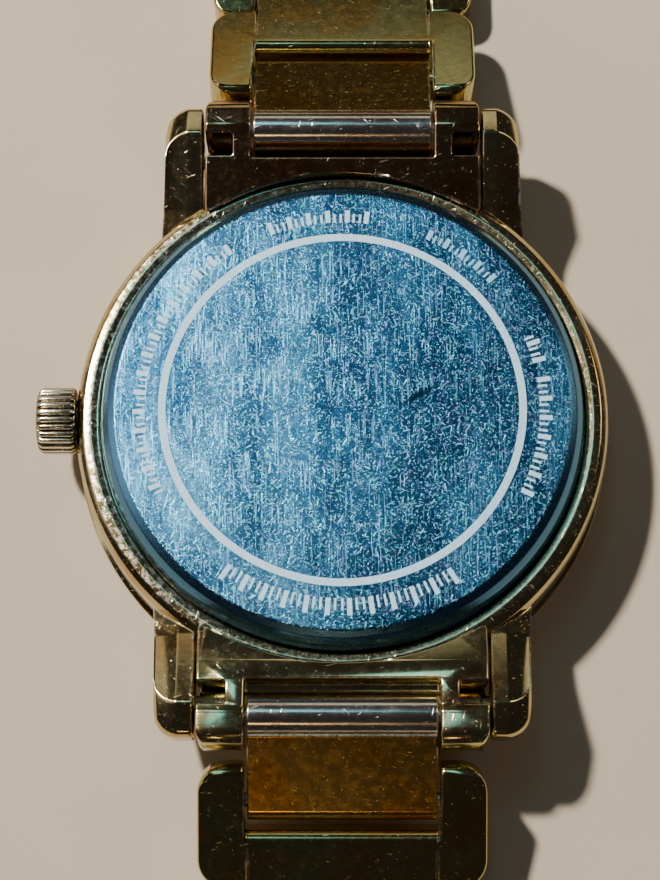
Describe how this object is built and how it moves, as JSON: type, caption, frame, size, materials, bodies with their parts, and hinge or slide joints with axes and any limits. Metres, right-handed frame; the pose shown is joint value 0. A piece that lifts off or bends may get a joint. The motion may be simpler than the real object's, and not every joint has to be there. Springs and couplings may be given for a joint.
{
  "type": "wristwatch",
  "caption": "Round gold-tone quartz wristwatch with a press-fit steel back, a fluted crown and a link bracelet with a folding clasp, laid open dial down.",
  "frame": {"origin": "middle of the crystal's flat face, which lies on the surface", "axes": "+Z out of the case back, +Y towards twelve o'clock along the bracelet, crown at -X"},
  "size_m": [0.0404, 0.1615, 0.0086],
  "materials": {
    "case_gold": "polished gold plate, worn on its edges",
    "link_gold": "gold plate, polished and finely scratched",
    "clasp_gold": "brushed gold plate",
    "back_steel": "polished steel with fine scratches and an etched ring",
    "pin_steel": "plain drawn steel",
    "mineral_glass": "clear polished",
    "gasket_nylon": "natural",
    "gasket_rubber": "matt",
    "dial_paint": "satin, with raised gold bars",
    "hand_gold": "polished",
    "movement_brass": "grained",
    "movement_steel": "grained",
    "ring_plastic": "moulded",
    "coil_copper": "enamelled winding"
  },
  "bodies": {
    "case": {"case_middle": "case_gold", "bezel": "case_gold", "crystal": "mineral_glass", "crystal_gasket": "gasket_nylon", "case_back": "back_steel", "case_back_gasket": "gasket_rubber", "crown_tube": "pin_steel", "dial": "dial_paint", "movement_ring": "ring_plastic", "main_plate": "movement_brass", "train_bridge": "movement_steel", "coil": "coil_copper", "battery": "movement_steel", "battery_clamp": "movement_steel", "spring_bar_upper": "pin_steel", "spring_bar_lower": "pin_steel", "end_link_upper": "case_gold", "end_link_lower": "case_gold", "end_link_pin_upper": "pin_steel", "end_link_pin_lower": "pin_steel"},
    "setting_lever": {"setting_lever": "pin_steel"},
    "crown": {"crown": "case_gold", "stem": "pin_steel", "crown_gasket": "gasket_rubber"},
    "seconds": {"second_hand": "hand_gold", "seconds_wheel": "movement_brass"},
    "minutes": {"minute_hand": "hand_gold", "centre_wheel": "movement_brass"},
    "hours": {"hour_hand": "hand_gold", "hour_wheel": "movement_brass"},
    "connector_upper": {"connector_upper": "link_gold"},
    "link_upper_1": {"link_upper_1": "link_gold", "link_pin_upper_1": "pin_steel"},
    "link_upper_2": {"link_upper_2": "link_gold", "link_pin_upper_2": "pin_steel"},
    "link_upper_3": {"link_upper_3": "link_gold", "link_pin_upper_3": "pin_steel"},
    "link_upper_4": {"link_upper_4": "link_gold", "link_pin_upper_4": "pin_steel"},
    "clasp_cover": {"clasp_cover": "clasp_gold", "clasp_pin": "pin_steel"},
    "clasp_outer_leaf": {"clasp_outer_leaf": "clasp_gold"},
    "clasp_inner_leaf": {"clasp_inner_leaf": "clasp_gold", "clasp_spring_bar": "pin_steel"},
    "push_button_right": {"push_button_right": "clasp_gold"},
    "push_button_left": {"push_button_left": "clasp_gold"},
    "connector_lower": {"connector_lower": "link_gold"},
    "link_lower_1": {"link_lower_1": "link_gold", "link_pin_lower_1": "pin_steel"},
    "link_lower_2": {"link_lower_2": "link_gold", "link_pin_lower_2": "pin_steel"},
    "link_lower_3": {"link_lower_3": "link_gold", "link_pin_lower_3": "pin_steel"},
    "link_lower_4": {"link_lower_4": "link_gold", "link_pin_lower_4": "pin_steel"},
    "link_lower_5": {"link_lower_5": "link_gold", "link_pin_lower_5": "pin_steel"}
  },
  "joints": [
    {"name": "crown_pull", "type": "slide", "parent": "case", "child": "setting_lever", "axis": [-1, 0, 0], "range_m": [0, 0.0009]},
    {"name": "crown_turn", "type": "hinge", "parent": "setting_lever", "child": "crown", "pos_m": [-0.019, 0, 0.0051], "axis": [-1, 0, 0], "continuous": true},
    {"name": "seconds_turn", "type": "hinge", "parent": "case", "child": "seconds", "pos_m": [0, 0, 0.0016], "axis": [0, 0, -1], "continuous": true},
    {"name": "minutes_turn", "type": "hinge", "parent": "case", "child": "minutes", "pos_m": [0, 0, 0.0019], "axis": [0, 0, -1], "continuous": true},
    {"name": "hours_turn", "type": "hinge", "parent": "case", "child": "hours", "pos_m": [0, 0, 0.0022], "axis": [0, 0, -1], "continuous": true},
    {"name": "connector_upper_hinge", "type": "hinge", "parent": "case", "child": "connector_upper", "pos_m": [0, 0.0214, 0.007], "axis": [1, 0, 0], "range_deg": [0, 74.4]},
    {"name": "link_upper_1_hinge", "type": "hinge", "parent": "connector_upper", "child": "link_upper_1", "pos_m": [0, 0.02663, 0.00463], "axis": [1, 0, 0], "range_deg": [-12.4, 23.6]},
    {"name": "link_upper_2_hinge", "type": "hinge", "parent": "link_upper_1", "child": "link_upper_2", "pos_m": [0, 0.03494, 0.0016], "axis": [1, 0, 0], "range_deg": [-26.76, 9.24]},
    {"name": "link_upper_3_hinge", "type": "hinge", "parent": "link_upper_2", "child": "link_upper_3", "pos_m": [0, 0.04379, 0.00141], "axis": [1, 0, 0], "range_deg": [-9.24, 26.76]},
    {"name": "link_upper_4_hinge", "type": "hinge", "parent": "link_upper_3", "child": "link_upper_4", "pos_m": [0, 0.05264, 0.00141], "axis": [1, 0, 0], "range_deg": [-8, 28]},
    {"name": "clasp_hinge", "type": "hinge", "parent": "link_upper_4", "child": "clasp_cover", "pos_m": [0, 0.06149, 0.00141], "axis": [1, 0, 0], "range_deg": [-8, 20]},
    {"name": "clasp_open", "type": "hinge", "parent": "clasp_cover", "child": "clasp_outer_leaf", "pos_m": [0, 0.08629, 0.00141], "axis": [1, 0, 0], "range_deg": [-160, 0]},
    {"name": "clasp_unfold", "type": "hinge", "parent": "clasp_outer_leaf", "child": "clasp_inner_leaf", "pos_m": [0, 0.06709, 0.00189], "axis": [1, 0, 0], "range_deg": [0, 160]},
    {"name": "button_right_press", "type": "slide", "parent": "clasp_cover", "child": "push_button_right", "axis": [-1, 0, 0], "range_m": [0, 0.0006], "stiffness_N_per_m": 150},
    {"name": "button_left_press", "type": "slide", "parent": "clasp_cover", "child": "push_button_left", "axis": [1, 0, 0], "range_m": [0, 0.0006], "stiffness_N_per_m": 150},
    {"name": "connector_lower_hinge", "type": "hinge", "parent": "case", "child": "connector_lower", "pos_m": [0, -0.0214, 0.007], "axis": [1, 0, 0], "range_deg": [-74.4, 0]},
    {"name": "link_lower_1_hinge", "type": "hinge", "parent": "connector_lower", "child": "link_lower_1", "pos_m": [0, -0.02663, 0.00463], "axis": [1, 0, 0], "range_deg": [-23.6, 12.4]},
    {"name": "link_lower_2_hinge", "type": "hinge", "parent": "link_lower_1", "child": "link_lower_2", "pos_m": [0, -0.03494, 0.0016], "axis": [1, 0, 0], "range_deg": [-9.24, 26.76]},
    {"name": "link_lower_3_hinge", "type": "hinge", "parent": "link_lower_2", "child": "link_lower_3", "pos_m": [0, -0.04379, 0.00141], "axis": [1, 0, 0], "range_deg": [-26.76, 9.24]},
    {"name": "link_lower_4_hinge", "type": "hinge", "parent": "link_lower_3", "child": "link_lower_4", "pos_m": [0, -0.05264, 0.00141], "axis": [1, 0, 0], "range_deg": [-28, 8]},
    {"name": "link_lower_5_hinge", "type": "hinge", "parent": "link_lower_4", "child": "link_lower_5", "pos_m": [0, -0.06149, 0.00141], "axis": [1, 0, 0], "range_deg": [-28, 8]}
  ],
  "couplings": [
    {"joint": "hours_turn", "follows": "minutes_turn", "ratio": 0.083333},
    {"joint": "clasp_unfold", "follows": "clasp_open", "ratio": -1}
  ]
}
